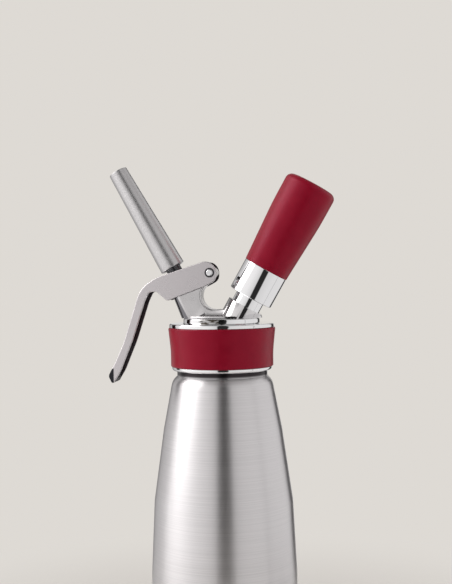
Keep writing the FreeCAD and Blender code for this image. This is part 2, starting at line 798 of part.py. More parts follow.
def gas_charger():
    """Steel bulb, its pierced neck down on the seal and its round end up."""
    shoulder = BULB_FOOT + BULB_NECK_LENGTH
    body = shoulder + BULB_SHOULDER_LENGTH
    pierced_r = PIERCE_R + 0.3
    profile = [
        (pierced_r, BULB_FOOT),
        (BULB_NECK_R, BULB_FOOT, 0.6),
        (BULB_NECK_R, shoulder, 2),
        (BULB_R, body, 5),
        (BULB_R, BULB_TOP, BULB_R * 0.98),
        (0, BULB_TOP),
        (0, BULB_TOP - BULB_WALL),
        (BULB_R - BULB_WALL, BULB_TOP - BULB_WALL, BULB_R - BULB_WALL - 0.5),
        (BULB_R - BULB_WALL, body, 4),
        (pierced_r, shoulder, 0.5),
    ]
    return on_charger(turned(profile))


def holder_body():
    """Turned charger holder: polished collar threaded inside, and the closed tube above it."""
    top = HOLDER_TUBE_TOP
    collar_top = HOLDER_FOOT + HOLDER_COLLAR_H
    thread_r = STUB_R + HOLDER_THREAD_GAP
    bore_r = BULB_R + HOLDER_BORE_GAP
    thread_top = STUB_TOP + 1.2
    profile = [
        (thread_r, HOLDER_FOOT, 0.6),
        (HOLDER_COLLAR_R, HOLDER_FOOT, HOLDER_EDGE),
        (HOLDER_COLLAR_R, collar_top, HOLDER_EDGE / 2),
        (HOLDER_TUBE_R, collar_top),
        (HOLDER_TUBE_R, top, 2),
        (0, top),
        (0, top - HOLDER_END_T),
        (bore_r, top - HOLDER_END_T, 3),
        (bore_r, thread_top + 1),
        (thread_r, thread_top),
    ]
    return on_charger(turned(profile))


def holder_grip():
    """Silicone sleeve over the holder's tube, swelling gently towards its rounded top edge."""
    foot = HOLDER_FOOT + HOLDER_COLLAR_H
    profile = [
        (HOLDER_TUBE_R, foot),
        (GRIP_FOOT_R, foot, 0.4),
        (GRIP_WAIST_R, foot + GRIP_WAIST_H, 200),
        (GRIP_TOP_R, GRIP_TOP, GRIP_ROUND),
        (0, GRIP_TOP),
        (0, HOLDER_TUBE_TOP),
        (HOLDER_TUBE_R, HOLDER_TUBE_TOP, 2),
    ]
    return on_charger(turned(profile))


PIECES = {
    "bottle": bottle,
    "lid_cap": lid_cap,
    "grip_band": grip_band,
    "head_gasket": head_gasket,
    "valve_bridge": valve_bridge,
    "valve_nut": valve_nut,
    "stem_seals": stem_seals,
    "valve_stem": valve_stem,
    "valve_washer": valve_washer,
    "valve_spring": valve_spring,
    "thrust_collar": thrust_collar,
    "tip_adapter": tip_adapter,
    "tip_seal": tip_seal,
    "decorator_tip": decorator_tip,
    "lever": lever,
    "lever_pin": lever_pin,
    "pin_washers": pin_washers,
    "charger_stub": charger_stub,
    "gas_screw": gas_screw,
    "non_return_cap": non_return_cap,
    "piercing_pin": piercing_pin,
    "charger_seal": charger_seal,
    "gas_charger": gas_charger,
    "holder_body": holder_body,
    "holder_grip": holder_grip,
}


def main():
    os.makedirs("parts", exist_ok=True)
    for name, make in PIECES.items():
        shape = make()
        shape.exportStep(f"parts/{name}.step")
        box = shape.BoundBox
        print(name, shape.isValid(), len(shape.Solids), round(shape.Volume, 1), round(box.ZMin, 2), round(box.ZMax, 2))


main()
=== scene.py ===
# %% [markdown]
# # Dressing a cream whipper
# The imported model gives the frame: every steel and silicone piece at its true size, on the body
# that moves it. This file makes the parts that the eye lingers on smooth and gives each surface
# its finish: brushed bottle and tip, satin castings, mirror-polished rings and matt silicone.

# %% Load the frame
import bmesh
import bpy
import json
import math
from mathutils import Matrix, Vector


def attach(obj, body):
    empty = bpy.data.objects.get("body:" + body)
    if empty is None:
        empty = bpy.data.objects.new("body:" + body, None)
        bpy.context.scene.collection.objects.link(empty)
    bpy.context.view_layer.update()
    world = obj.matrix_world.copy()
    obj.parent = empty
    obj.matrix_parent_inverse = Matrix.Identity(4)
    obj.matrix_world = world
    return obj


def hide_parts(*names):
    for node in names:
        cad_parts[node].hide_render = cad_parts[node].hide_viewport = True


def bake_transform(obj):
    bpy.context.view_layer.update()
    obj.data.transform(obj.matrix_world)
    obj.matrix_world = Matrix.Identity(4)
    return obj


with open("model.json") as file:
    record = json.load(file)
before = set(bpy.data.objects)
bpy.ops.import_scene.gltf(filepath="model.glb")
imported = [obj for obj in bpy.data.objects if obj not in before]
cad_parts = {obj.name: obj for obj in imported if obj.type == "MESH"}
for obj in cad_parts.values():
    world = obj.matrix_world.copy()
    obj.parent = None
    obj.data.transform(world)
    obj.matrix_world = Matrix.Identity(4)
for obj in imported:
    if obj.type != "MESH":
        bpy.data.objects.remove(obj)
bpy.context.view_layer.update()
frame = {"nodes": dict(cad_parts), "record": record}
scene = bpy.context.scene
MM = 0.001

# %% [markdown]
# ## The camera
# The photograph was taken level with the top of the lever, from a little to the right of the
# front, and rolled by less than a degree. A long lens keeps the two leaning axes nearly true.
# The lens comes from one scale: how many millimetres at the bottle's axis one pixel covers.

# %% Camera
IMAGE_HEIGHT = 584
CAMERA_DISTANCE = 630 * MM
MM_PER_PIXEL = 0.65
CAMERA_TURN = math.radians(7.0)
CAMERA_ASIDE = 3.1 * MM
CAMERA_HEIGHT = 256.9 * MM
CAMERA_ROLL = math.radians(-0.7)
HORIZON_ABOVE_MIDDLE = 12
SENSOR = 36.0

camera_data = bpy.data.cameras.new("camera")
camera_data.sensor_fit = "VERTICAL"
camera_data.sensor_height = SENSOR
focal_pixels = CAMERA_DISTANCE / MM / MM_PER_PIXEL
camera_data.lens = focal_pixels / IMAGE_HEIGHT * SENSOR
camera_data.shift_y = -HORIZON_ABOVE_MIDDLE / IMAGE_HEIGHT
camera = bpy.data.objects.new("camera", camera_data)
scene.collection.objects.link(camera)
sideways = Vector((math.cos(CAMERA_TURN), math.sin(CAMERA_TURN), 0))
outwards = Vector((math.sin(CAMERA_TURN), -math.cos(CAMERA_TURN), 0))
camera.location = outwards * CAMERA_DISTANCE + sideways * CAMERA_ASIDE + Vector((0, 0, CAMERA_HEIGHT))
level = Matrix.Rotation(CAMERA_TURN, 4, "Z") @ Matrix.Rotation(math.pi / 2, 4, "X")
camera.matrix_world = Matrix.Translation(camera.location) @ level @ Matrix.Rotation(CAMERA_ROLL, 4, "Z")
scene.camera = camera
print("lens", round(camera_data.lens, 2), "mm")

# %% [markdown]
# ## Small node helpers
# Every finish and the studio itself are node trees, and the same few moves come back in all of
# them: join two sockets, do a sum, turn a value into a smooth step. Each move is a function once.

# %% Node helpers
def link(tree, a, b):
    tree.links.new(a, b)


def math_node(tree, operation, first, second=0.0, third=0.0):
    node = tree.nodes.new("ShaderNodeMath")
    node.operation = operation
    for socket, value in zip(node.inputs, (first, second, third)):
        if isinstance(value, (int, float)):
            socket.default_value = value
        else:
            link(tree, value, socket)
    return node.outputs[0]


def spread(tree, value, low, high, start=0.3, end=0.7):
    """Smooth step from low, at start, to high, at end."""
    node = tree.nodes.new("ShaderNodeMapRange")
    node.interpolation_type = "SMOOTHSTEP"
    link(tree, value, node.inputs["Value"])
    node.inputs["From Min"].default_value = start
    node.inputs["From Max"].default_value = end
    node.inputs["To Min"].default_value = low
    node.inputs["To Max"].default_value = high
    return node.outputs[0]


def between(tree, value, edges):
    """1 between the two inner edges, falling smoothly to 0 at the two outer ones."""
    rise = spread(tree, value, 0, 1, *edges[:2])
    fall = spread(tree, value, 1, 0, *edges[2:])
    return math_node(tree, "MULTIPLY", rise, fall)


def reach_along(tree, parts, direction):
    """How far a place lies along a direction."""
    reach = math_node(tree, "MULTIPLY", parts[0], direction[0])
    for part, share in zip(parts[1:], direction[1:]):
        reach = math_node(tree, "MULTIPLY_ADD", part, share, reach)
    return reach


def mix_shaders(tree, share, first, second):
    mix = tree.nodes.new("ShaderNodeMixShader")
    link(tree, share, mix.inputs["Fac"])
    link(tree, first, mix.inputs[1])
    link(tree, second, mix.inputs[2])
    return mix.outputs[0]


def ray_kinds(tree):
    """Whether a ray is the camera's own, and whether it is a reflection or comes through glass."""
    path = tree.nodes.new("ShaderNodeLightPath")
    glossy, through = path.outputs["Is Glossy Ray"], path.outputs["Is Transmission Ray"]
    mirrored = math_node(tree, "MAXIMUM", glossy, through)
    return path.outputs["Is Camera Ray"], mirrored


# %% [markdown]
# ## The studio
# Polished metal shows the room more than itself. The photo's rings carry one dark upright stripe
# between two wide bright fields: the gap between two soft boxes, with the camera in it. A thin
# bar stands in the right field, and dark flags at both sides of the rear draw the dark lines along
# the edges of everything round. A high window at the upper left lights the leaning sleeve.
# The world holds that room as a colour ramp over the compass, dimmer towards the ceiling. A ramp
# stays sharp and cheap where real cards would need many samples. The camera sees a plain pale
# backdrop all round, and so does a reflection that looks straight back past the object.

# %% The room as a ramp over the compass, in degrees from the front towards the charger holder
ROOM = [
    (-180, 0.36), (-168, 0.34), (-165, 0.08), (-152, 0.08), (-147, 0.22), (-125, 0.30), (-104, 0.38),
    (-96, 0.56), (-60, 0.50), (-30, 0.46), (-14, 0.40), (-4, 0.34), (-1.5, 0.012), (20.5, 0.012), (23, 0.36),
    (60, 0.40), (80.2, 0.40), (80.6, 0.1), (81.6, 0.1), (82, 0.40), (138, 0.40), (146, 0.34), (148, 0.02),
    (166, 0.02), (169, 0.34), (180, 0.36),
]
ROOM_GAIN = 2.1
CEILING_SHARE = 0.45
CEILING_EDGE = (0.55, 0.95)
WARMTH = (1.0, 0.985, 0.98)
WINDOW = Vector((-0.80, -0.15, 0.58)).normalized()
WINDOW_GAIN = 6.0
WINDOW_EDGE = (0.88, 0.97)


def room_level(tree, x, y, z):
    """Colour and strength of the room towards a direction."""
    azimuth = math_node(tree, "ARCTAN2", x, math_node(tree, "MULTIPLY", y, -1.0))
    # The ramp runs from 0 to 1 over one whole turn.
    turn = math_node(tree, "MULTIPLY_ADD", azimuth, 0.5 / math.pi, 0.5)
    ramp = tree.nodes.new("ShaderNodeValToRGB")
    link(tree, turn, ramp.inputs["Fac"])
    stops = ramp.color_ramp.elements
    for degrees, _ in ROOM[1:-1]:
        stops.new(degrees / 360 + 0.5)
    for stop, (degrees, level) in zip(stops, ROOM):
        stop.position = degrees / 360 + 0.5
        stop.color = [level * share for share in WARMTH] + [1]
    overhead = spread(tree, z, ROOM_GAIN, CEILING_SHARE * ROOM_GAIN, *CEILING_EDGE)
    window = spread(tree, reach_along(tree, (x, y, z), WINDOW), 0.0, WINDOW_GAIN, *WINDOW_EDGE)
    return ramp.outputs["Color"], math_node(tree, "ADD", overhead, window)


# %% The world: the room for light and reflections, the backdrop for the camera
BACKDROP = (0.73, 0.70, 0.66, 1)
STRAIGHT_BEHIND = (0.983, 0.996)


def build_world():
    world = bpy.data.worlds.new("studio")
    world.use_nodes = True
    tree = world.node_tree
    tree.nodes.clear()
    coords = tree.nodes.new("ShaderNodeTexCoord")
    split = tree.nodes.new("ShaderNodeSeparateXYZ")
    link(tree, coords.outputs["Generated"], split.inputs[0])
    colour, strength = room_level(tree, *split.outputs)
    room = tree.nodes.new("ShaderNodeBackground")
    link(tree, colour, room.inputs["Color"])
    link(tree, strength, room.inputs["Strength"])
    plain = tree.nodes.new("ShaderNodeBackground")
    plain.inputs["Color"].default_value = BACKDROP
    seen, mirrored = ray_kinds(tree)
    behind = spread(tree, split.outputs[1], 0.0, 1.0, *STRAIGHT_BEHIND)
    share = math_node(tree, "MAXIMUM", seen, math_node(tree, "MULTIPLY", mirrored, behind))
    out = tree.nodes.new("ShaderNodeOutputWorld")
    link(tree, mix_shaders(tree, share, room.outputs[0], plain.outputs[0]), out.inputs["Surface"])
    scene.world = world


build_world()
scene.view_settings.view_transform = "Standard"
print("room ramp of", len(ROOM), "levels")

# %% [markdown]
# Two soft lamps add a direction to the light, so that the floor takes a shadow to the right. They
# are hidden from the camera and from reflections, where the ramp already has its bright fields.

# %% Lamps: a stronger one at the left, a weaker one at the right
LAMP_AIM = Vector((0, 0, 0.22))


def soft_box(name, position, size, watts):
    data = bpy.data.lights.new(name, "AREA")
    data.shape = "RECTANGLE"
    data.size = size[0]
    data.size_y = size[1]
    data.energy = watts
    lamp = bpy.data.objects.new(name, data)
    scene.collection.objects.link(lamp)
    lamp.location = position
    lamp.rotation_euler = (LAMP_AIM - Vector(position)).to_track_quat("-Z", "Y").to_euler()
    lamp.visible_camera = False
    lamp.visible_glossy = False
    print(name, watts, "W")


soft_box("soft_box_left", (-1.0, -0.25, 0.5), (0.6, 0.9), 1.5)
soft_box("soft_box_right", (1.0, -0.1, 0.45), (0.5, 0.9), 1.0)

# %% [markdown]
# ## The floor
# The object stands on a plain pale floor. Near the object the floor takes its shadow; further
# out it turns into the backdrop's own colour, so that no horizon cuts through the picture.
# To a reflection the far floor is clear, so the room's stripes run on below the horizon.

# %% Floor
FLOOR_HALF = 12.0
FLOOR_FADE = (0.12, 0.36)


def floor_finish():
    material = bpy.data.materials.new("floor_paint")
    material.use_nodes = True
    tree = material.node_tree
    bsdf = tree.nodes["Principled BSDF"]
    bsdf.inputs["Base Color"].default_value = BACKDROP
    bsdf.inputs["Roughness"].default_value = 0.7
    coords = tree.nodes.new("ShaderNodeTexCoord")
    distance = tree.nodes.new("ShaderNodeVectorMath")
    distance.operation = "LENGTH"
    link(tree, coords.outputs["Object"], distance.inputs[0])
    far = spread(tree, distance.outputs["Value"], 0.0, 1.0, *FLOOR_FADE)
    glow = tree.nodes.new("ShaderNodeEmission")
    glow.inputs["Color"].default_value = BACKDROP
    clear = tree.nodes.new("ShaderNodeBsdfTransparent")
    shader = bsdf.outputs[0]
    for ray, look in zip(ray_kinds(tree), (glow, clear)):
        shader = mix_shaders(tree, math_node(tree, "MULTIPLY", far, ray), shader, look.outputs[0])
    link(tree, shader, tree.nodes["Material Output"].inputs["Surface"])
    return material


floor_mesh = bpy.data.meshes.new("floor")
floor_corners = [(FLOOR_HALF * x, FLOOR_HALF * y, 0) for x, y in ((-1, -1), (1, -1), (1, 1), (-1, 1))]
floor_mesh.from_pydata(floor_corners, [], [(0, 1, 2, 3)])
floor_mesh.materials.append(floor_finish())
floor = bpy.data.objects.new("floor", floor_mesh)
scene.collection.objects.link(floor)
print("floor of", 2 * FLOOR_HALF, "m")

# %% [markdown]
# ## Finishes
# Each finish is a small node tree on the Principled shader. Turned pieces carry a UV map whose
# first axis runs once round the piece and whose second runs along its outline, one unit to
# 100 mm, so brushing is noise that is stretched round the piece. Cast and moulded pieces use
# Object coordinates.

# %% Material helpers
def new_material(name):
    material = bpy.data.materials.new(name)
    material.use_nodes = True
    tree = material.node_tree
    return material, tree, tree.nodes["Principled BSDF"]


def coordinates(tree, kind, scale=(1, 1, 1)):
    coords = tree.nodes.new("ShaderNodeTexCoord")
    mapping = tree.nodes.new("ShaderNodeMapping")
    mapping.inputs["Scale"].default_value = scale
    link(tree, coords.outputs[kind], mapping.inputs["Vector"])
    return mapping.outputs["Vector"]


def own_place(tree):
    """Sockets of the object's own x, y and z, in metres."""
    coords = tree.nodes.new("ShaderNodeTexCoord")
    split = tree.nodes.new("ShaderNodeSeparateXYZ")
    link(tree, coords.outputs["Object"], split.inputs[0])
    return split.outputs


def noise(tree, vector, scale, detail=3.0, roughness=0.5):
    node = tree.nodes.new("ShaderNodeTexNoise")
    node.inputs["Scale"].default_value = scale
    node.inputs["Detail"].default_value = detail
    node.inputs["Roughness"].default_value = roughness
    link(tree, vector, node.inputs["Vector"])
    return node.outputs["Fac"]


def tint(tree, value, first, second):
    """Blend from the first colour to the second. Each is a plain colour or a socket."""
    blend = tree.nodes.new("ShaderNodeMix")
    blend.data_type = "RGBA"
    link(tree, value, blend.inputs["Factor"])
    for socket, colour in zip(blend.inputs[6:8], (first, second)):
        if isinstance(colour, tuple):
            socket.default_value = colour + (1,)
        else:
            link(tree, colour, socket)
    return blend.outputs[2]


def darker(colour, share):
    return tuple(share * c for c in colour)


def relief(tree, height, depth, strength, bsdf):
    """Bump the surface by a height socket. The depth is in metres."""
    bump = tree.nodes.new("ShaderNodeBump")
    bump.inputs["Distance"].default_value = depth
    bump.inputs["Strength"].default_value = strength
    link(tree, height, bump.inputs["Height"])
    link(tree, bump.outputs[0], bsdf.inputs["Normal"])


# %% [markdown]
# The bottle and the tip are brushed while they turn, so their hair-fine scratches run round them and smear
# every reflection lengthwise. A stretched noise draws the hairs, and the shader's anisotropy, turned to the
# UV map, smears the light. The bottle's neck, where it is drawn in under the head, gets painted shade: its
# colour turns near black in a band between two heights.

# %% Brushed steel
HAIRS = (9, 900, 1)
NECK_PAINTED_SHADE = (0.04, 0.035, 0.037)


def brushed_steel(name, colour, roughness, streaks_along, grain=0.3, painted_shade_band=None):
    material, tree, bsdf = new_material(name)
    bsdf.inputs["Metallic"].default_value = 1.0
    bsdf.inputs["Anisotropic"].default_value = 0.8
    bsdf.inputs["Anisotropic Rotation"].default_value = 0.25
    tangent = tree.nodes.new("ShaderNodeTangent")
    tangent.direction_type = "UV_MAP"
    link(tree, tangent.outputs[0], bsdf.inputs["Tangent"])
    hairs = noise(tree, coordinates(tree, "UV", HAIRS), 1.0, 4.0, 0.6)
    streaks = noise(tree, coordinates(tree, "UV", (2, streaks_along, 1)), 1.0, 3.0)
    mixed = math_node(tree, "MULTIPLY_ADD", streaks, 0.5, math_node(tree, "MULTIPLY", hairs, 0.5))
    link(tree, spread(tree, mixed, roughness - 0.05, roughness + 0.06), bsdf.inputs["Roughness"])
    shade = tint(tree, spread(tree, mixed, 0, 1, 0.35, 0.65), darker(colour, 0.86), colour)
    # Painted shade: the neck's colour darkens to near black between two heights, under the head.
    if painted_shade_band:
        shade = tint(tree, between(tree, own_place(tree)[2], painted_shade_band), shade, NECK_PAINTED_SHADE)
    link(tree, shade, bsdf.inputs["Base Color"])
    relief(tree, hairs, 0.00002, grain, bsdf)
    return material


# %% [markdown]
# The lid's rings, the nipple and the holder's collar are mirrors, and the bridge stands on the
# lid. Where the bridge arches over the lid's front the two shade each other, and the photo shows
# patchy dark reflections there. Both finishes share that shade, by its place.

# %% Shade under the bridge
SHADE_X = (-0.013, -0.010, 0.003, 0.006)
SHADE_Z = (0.2291, 0.2294, 0.2318, 0.2326)
SHADE_PATCHES = (220, 220, 700)
SHADE_BROWN = (0.06, 0.05, 0.04)


def under_bridge(tree, shade):
    sockets = own_place(tree)
    across = between(tree, sockets[0], SHADE_X)
    up = between(tree, sockets[2], SHADE_Z)
    inside = math_node(tree, "MULTIPLY", across, up)
    patches = noise(tree, coordinates(tree, "Object", SHADE_PATCHES), 1.0, 2.0)
    inside = math_node(tree, "MULTIPLY", inside, spread(tree, patches, 1.0, 0.5, 0.4, 0.6))
    return tint(tree, inside, shade, SHADE_BROWN)


# %% Polished steel
def polished_steel(name, colour, roughness):
    """Mirror polish with faint wiping marks and a little haze."""
    material, tree, bsdf = new_material(name)
    bsdf.inputs["Metallic"].default_value = 1.0
    haze = noise(tree, coordinates(tree, "Object"), 60.0, 3.0)
    wipes = noise(tree, coordinates(tree, "Object", (300, 60, 900)), 1.0, 2.0)
    mixed = math_node(tree, "MULTIPLY_ADD", wipes, 0.3, math_node(tree, "MULTIPLY", haze, 0.7))
    link(tree, spread(tree, mixed, roughness * 0.5, roughness * 1.6), bsdf.inputs["Roughness"])
    shade = tint(tree, haze, darker(colour, 0.95), colour)
    link(tree, under_bridge(tree, shade), bsdf.inputs["Base Color"])
    relief(tree, wipes, 0.000004, 0.06, bsdf)
    return material


# %% [markdown]
# Cast pieces are blasted and tumbled: a soft sheen, fine pits and cloudy patches. Two noises in
# Object coordinates do it, one fine for the pits and one wide for the clouds, because a casting
# has no grain that runs one way.

# %% Satin castings
def satin_casting(name, colour, roughness):
    material, tree, bsdf = new_material(name)
    bsdf.inputs["Metallic"].default_value = 1.0
    pits = noise(tree, coordinates(tree, "Object"), 3200.0, 2.0)
    clouds = noise(tree, coordinates(tree, "Object"), 90.0, 3.0)
    link(tree, spread(tree, clouds, roughness - 0.04, roughness + 0.05), bsdf.inputs["Roughness"])
    mixed = math_node(tree, "MULTIPLY_ADD", pits, 0.5, math_node(tree, "MULTIPLY", clouds, 0.5))
    shade = tint(tree, spread(tree, mixed, 0, 1, 0.35, 0.65), darker(colour, 0.88), colour)
    link(tree, shade, bsdf.inputs["Base Color"])
    relief(tree, pits, 0.00003, 0.22, bsdf)
    return material


# %% [markdown]
# The bridge is satin on its tower's side and polished towards the charger's boss, with a painted dark
# reflection in a band down the tower's leaning edge. The band is told by how far a point lies inward of that
# edge.

# %% The bridge's finish
POLISH_X = (-0.006, 0.004)
TOWER_EDGE = Vector((-0.031, 0.2451))
TOWER_EDGE_INWARD = Vector((0.887, 0.463))
TOWER_EDGE_BAND = (0.0026, 0.0036)
EDGE_PAINTED_REFLECTION = (0.07, 0.07, 0.085)


def bridge_casting(name, colour):
    material, tree, bsdf = new_material(name)
    bsdf.inputs["Metallic"].default_value = 1.0
    sockets = own_place(tree)
    clouds = noise(tree, coordinates(tree, "Object"), 120.0, 3.0)
    satin = spread(tree, clouds, 0.20, 0.28)
    gloss = spread(tree, sockets[0], 1.0, 0.28, *POLISH_X)
    link(tree, math_node(tree, "MULTIPLY", satin, gloss), bsdf.inputs["Roughness"])
    shade = tint(tree, clouds, darker(colour, 0.92), colour)
    # Painted reflection: a dark band down the tower's leaning edge, where it mirrors the lever's dark side.
    inward = reach_along(tree, (sockets[0], sockets[2]), TOWER_EDGE_INWARD)
    start = TOWER_EDGE.dot(TOWER_EDGE_INWARD)
    band = spread(tree, inward, 0.8, 0.0, start + TOWER_EDGE_BAND[0], start + TOWER_EDGE_BAND[1])
    shade = tint(tree, band, shade, EDGE_PAINTED_REFLECTION)
    link(tree, under_bridge(tree, shade), bsdf.inputs["Base Color"])
    pits = noise(tree, coordinates(tree, "Object"), 2800.0, 2.0)
    relief(tree, pits, 0.00001, 0.15, bsdf)
    return material


# %% [markdown]
# The lever is satin too, with a polished lip at the handle's end whose dark reflection is painted into its
# colour, and a ring of painted shade where the rivet's head sits in its countersink. Both are told by their
# place on the side of the lever.

# %% The lever's finish
PIN = Vector((-0.00652, 0.26175))
RIVET_RING = (0.0030, 0.0033)
LIP_X = (-0.0704, -0.0698)
LIP_Z = (0.1998, 0.2006)
LIP_PAINTED_REFLECTION = (0.03, 0.03, 0.035)


def lever_casting(name, colour, roughness):
    material = satin_casting(name, colour, roughness)
    tree = material.node_tree
    bsdf = tree.nodes["Principled BSDF"]
    x, z = (own_place(tree)[i] for i in (0, 2))
    across = math_node(tree, "SUBTRACT", x, PIN.x)
    up = math_node(tree, "SUBTRACT", z, PIN.y)
    squares = math_node(tree, "MULTIPLY_ADD", up, up, math_node(tree, "MULTIPLY", across, across))
    # Painted shade: a dark ring round the rivet's head. Below, a painted dark reflection on the handle's
    # lip.
    ring = spread(tree, math_node(tree, "SQRT", squares), 0.95, 0.0, *RIVET_RING)
    lip = math_node(tree, "MULTIPLY", spread(tree, x, 1, 0, *LIP_X), spread(tree, z, 1, 0, *LIP_Z))
    satin_shade = bsdf.inputs["Base Color"].links[0].from_socket
    shade = tint(tree, math_node(tree, "MAXIMUM", ring, lip), satin_shade, LIP_PAINTED_REFLECTION)
    link(tree, shade, bsdf.inputs["Base Color"])
    satin = bsdf.inputs["Roughness"].links[0].from_socket
    polish = spread(tree, lip, 1.0, 0.3, 0, 1)
    link(tree, math_node(tree, "MULTIPLY", satin, polish), bsdf.inputs["Roughness"])
    return material


# %% [markdown]
# The band and the sleeve are dyed silicone: deep colour, a matt skin with a faint moulding
# texture and a few specks of dust. The reflection is tinted, so the skin stays saturated under
# the bright room.

# %% Silicone
def silicone(name, colour):
    material, tree, bsdf = new_material(name)
    bsdf.inputs["Specular IOR Level"].default_value = 0.38
    bsdf.inputs["Specular Tint"].default_value = (1.0, 0.38, 0.55, 1)
    bsdf.inputs["Sheen Weight"].default_value = 0.03
    bsdf.inputs["Sheen Roughness"].default_value = 0.4
    skin = noise(tree, coordinates(tree, "Object"), 2600.0, 2.0)
    clouds = noise(tree, coordinates(tree, "Object"), 120.0, 4.0)
    link(tree, spread(tree, clouds, 0.34, 0.44), bsdf.inputs["Roughness"])
    specks = tree.nodes.new("ShaderNodeTexVoronoi")
    specks.inputs["Scale"].default_value = 420.0
    link(tree, coordinates(tree, "Object"), specks.inputs["Vector"])
    dust = spread(tree, specks.outputs["Distance"], 0.12, 0.0, 0.02, 0.12)
    patches = math_node(tree, "ADD", spread(tree, clouds, 0.0, 0.3), dust)
    lighter = tuple(1.3 * c + 0.005 for c in colour)
    link(tree, tint(tree, patches, colour, lighter), bsdf.inputs["Base Color"])
    relief(tree, skin, 0.00003, 0.2, bsdf)
    return material


# %% [markdown]
# The seals are rubber, dull and slightly cloudy. Only their edges are ever seen, so one wide
# noise is enough.

# %% Rubber seals
def seal_rubber(name, colour):
    material, tree, bsdf = new_material(name)
    clouds = noise(tree, coordinates(tree, "Object"), 400.0, 3.0)
    link(tree, spread(tree, clouds, 0.5, 0.65), bsdf.inputs["Roughness"])
    link(tree, tint(tree, clouds, darker(colour, 0.8), colour), bsdf.inputs["Base Color"])
    relief(tree, clouds, 0.00002, 0.2, bsdf)
    return material


# %% [markdown]
# The record names a material slot for every piece, so the finishes are made once, by slot, and
# each piece of the frame takes the one of its own slot.

# %% One finish for each slot of the record
NECK_SHADE_HEIGHTS = (0.1945, 0.1968, 0.2015, 0.2035)

finishes = {
    "bottle_steel": brushed_steel("bottle_steel", (0.74, 0.722, 0.73), 0.37, 260, painted_shade_band=NECK_SHADE_HEIGHTS),
    "tip_steel": brushed_steel("tip_steel", (0.62, 0.61, 0.615), 0.36, 400, grain=0.08),
    "polished_steel": polished_steel("polished_steel", (0.86, 0.86, 0.87), 0.05),
    "cast_steel": bridge_casting("cast_steel", (0.72, 0.705, 0.71)),
    "lever_steel": lever_casting("lever_steel", (0.76, 0.72, 0.735), 0.30),
    # Painted shade: the turned steel is nearly black, as the adapter sits in shadow between the tip and the
    # lever.
    "turned_steel": satin_casting("turned_steel", (0.10, 0.10, 0.105), 0.24),
    "spring_steel": satin_casting("spring_steel", (0.5, 0.5, 0.52), 0.25),
    "charger_steel": satin_casting("charger_steel", (0.56, 0.57, 0.60), 0.3),
    "gasket_rubber": seal_rubber("gasket_rubber", (0.22, 0.22, 0.23)),
    "red_silicone": silicone("red_silicone", (0.235, 0.0, 0.012)),
}
slot_of = {row["node"]: row["material_slot"] for row in frame["record"]["subparts"]}
body_of = {node: body for body, nodes in frame["record"]["behaviour"]["bodies"].items() for node in nodes}


def paint(piece, node):
    """Give the piece the finish of the node's slot."""
    piece.data.materials.clear()
    piece.data.materials.append(finishes[slot_of[node]])


for node, solid in frame["nodes"].items():
    paint(solid, node)
print("finishes:", len(finishes))

# %% [markdown]
# ## Turned pieces
# The bottle, the bands, the tip and the holder are all turned or drawn round an axis. Each is
# spun from its half outline in small steps, with every corner rounded as the real one is. A
# screw modifier could spin them too, but a spun mesh made here carries its own UV map for the
# brushing. The two upper groups lean: their outlines are drawn upright and then laid on the
# leaning axes.

# %% The two leaning axes
LID_TOP = 229.0
VALVE_AXIS_X = -11.2
CHARGER_AXIS_X = 9.6
LEAN = math.radians(29.5)


def leaning(x, angle):
    return Matrix.Translation((x * MM, 0, LID_TOP * MM)) @ Matrix.Rotation(angle, 4, "Y")


UPRIGHT = Matrix.Identity(4)
VALVE = leaning(VALVE_AXIS_X, -LEAN)
CHARGER = leaning(CHARGER_AXIS_X, LEAN)
print("axes lean", round(math.degrees(LEAN), 1), "degrees")


# %% Outline with rounded corners
ARC_STEP = math.radians(9)


def rounded(corners):
    """Points of an open outline through (radius, height) or (radius, height, round) corners."""
    points = []
    for i, corner in enumerate(corners):
        corner_point = Vector(corner[:2])
        if len(corner) < 3 or i in (0, len(corners) - 1):
            points.append(corner_point)
            continue
        back = (Vector(corners[i - 1][:2]) - corner_point).normalized()
        on = (Vector(corners[i + 1][:2]) - corner_point).normalized()
        half = back.angle(on) / 2
        centre = corner_point + (back + on).normalized() * (corner[2] / math.sin(half))
        start = corner_point + back * (corner[2] / math.tan(half)) - centre
        turn = math.pi - 2 * half
        if start.y * back.x - start.x * back.y < 0:
            turn = -turn
        steps = max(2, math.ceil(abs(turn) / ARC_STEP))
        for step in range(steps + 1):
            angle = turn * step / steps
            cos, sin = math.cos(angle), math.sin(angle)
            turned = (start.x * cos - start.y * sin, start.x * sin + start.y * cos)
            points.append(centre + Vector(turned))
    return points


# %% Finish a mesh
SHARP = math.radians(32)
WELD = 1e-7


def finish_mesh(name, mesh, placing):
    """Weld the seam and the poles, face outwards, lay it on its axis and shade it smooth."""
    shell = bmesh.new()
    shell.from_mesh(mesh)
    bmesh.ops.remove_doubles(shell, verts=shell.verts, dist=WELD)
    bmesh.ops.dissolve_degenerate(shell, edges=shell.edges, dist=WELD)
    bmesh.ops.recalc_face_normals(shell, faces=shell.faces)
    shell.transform(placing)
    shell.to_mesh(mesh)
    shell.free()
    mesh.shade_smooth()
    mesh.set_sharp_from_angle(angle=SHARP)
    piece = bpy.data.objects.new(name, mesh)
    scene.collection.objects.link(piece)
    return piece


# %% Spin an outline into a piece
UV_LENGTH = 100.0
STEPS_ROUND = 144
STEPS_ROUND_LARGE = 192


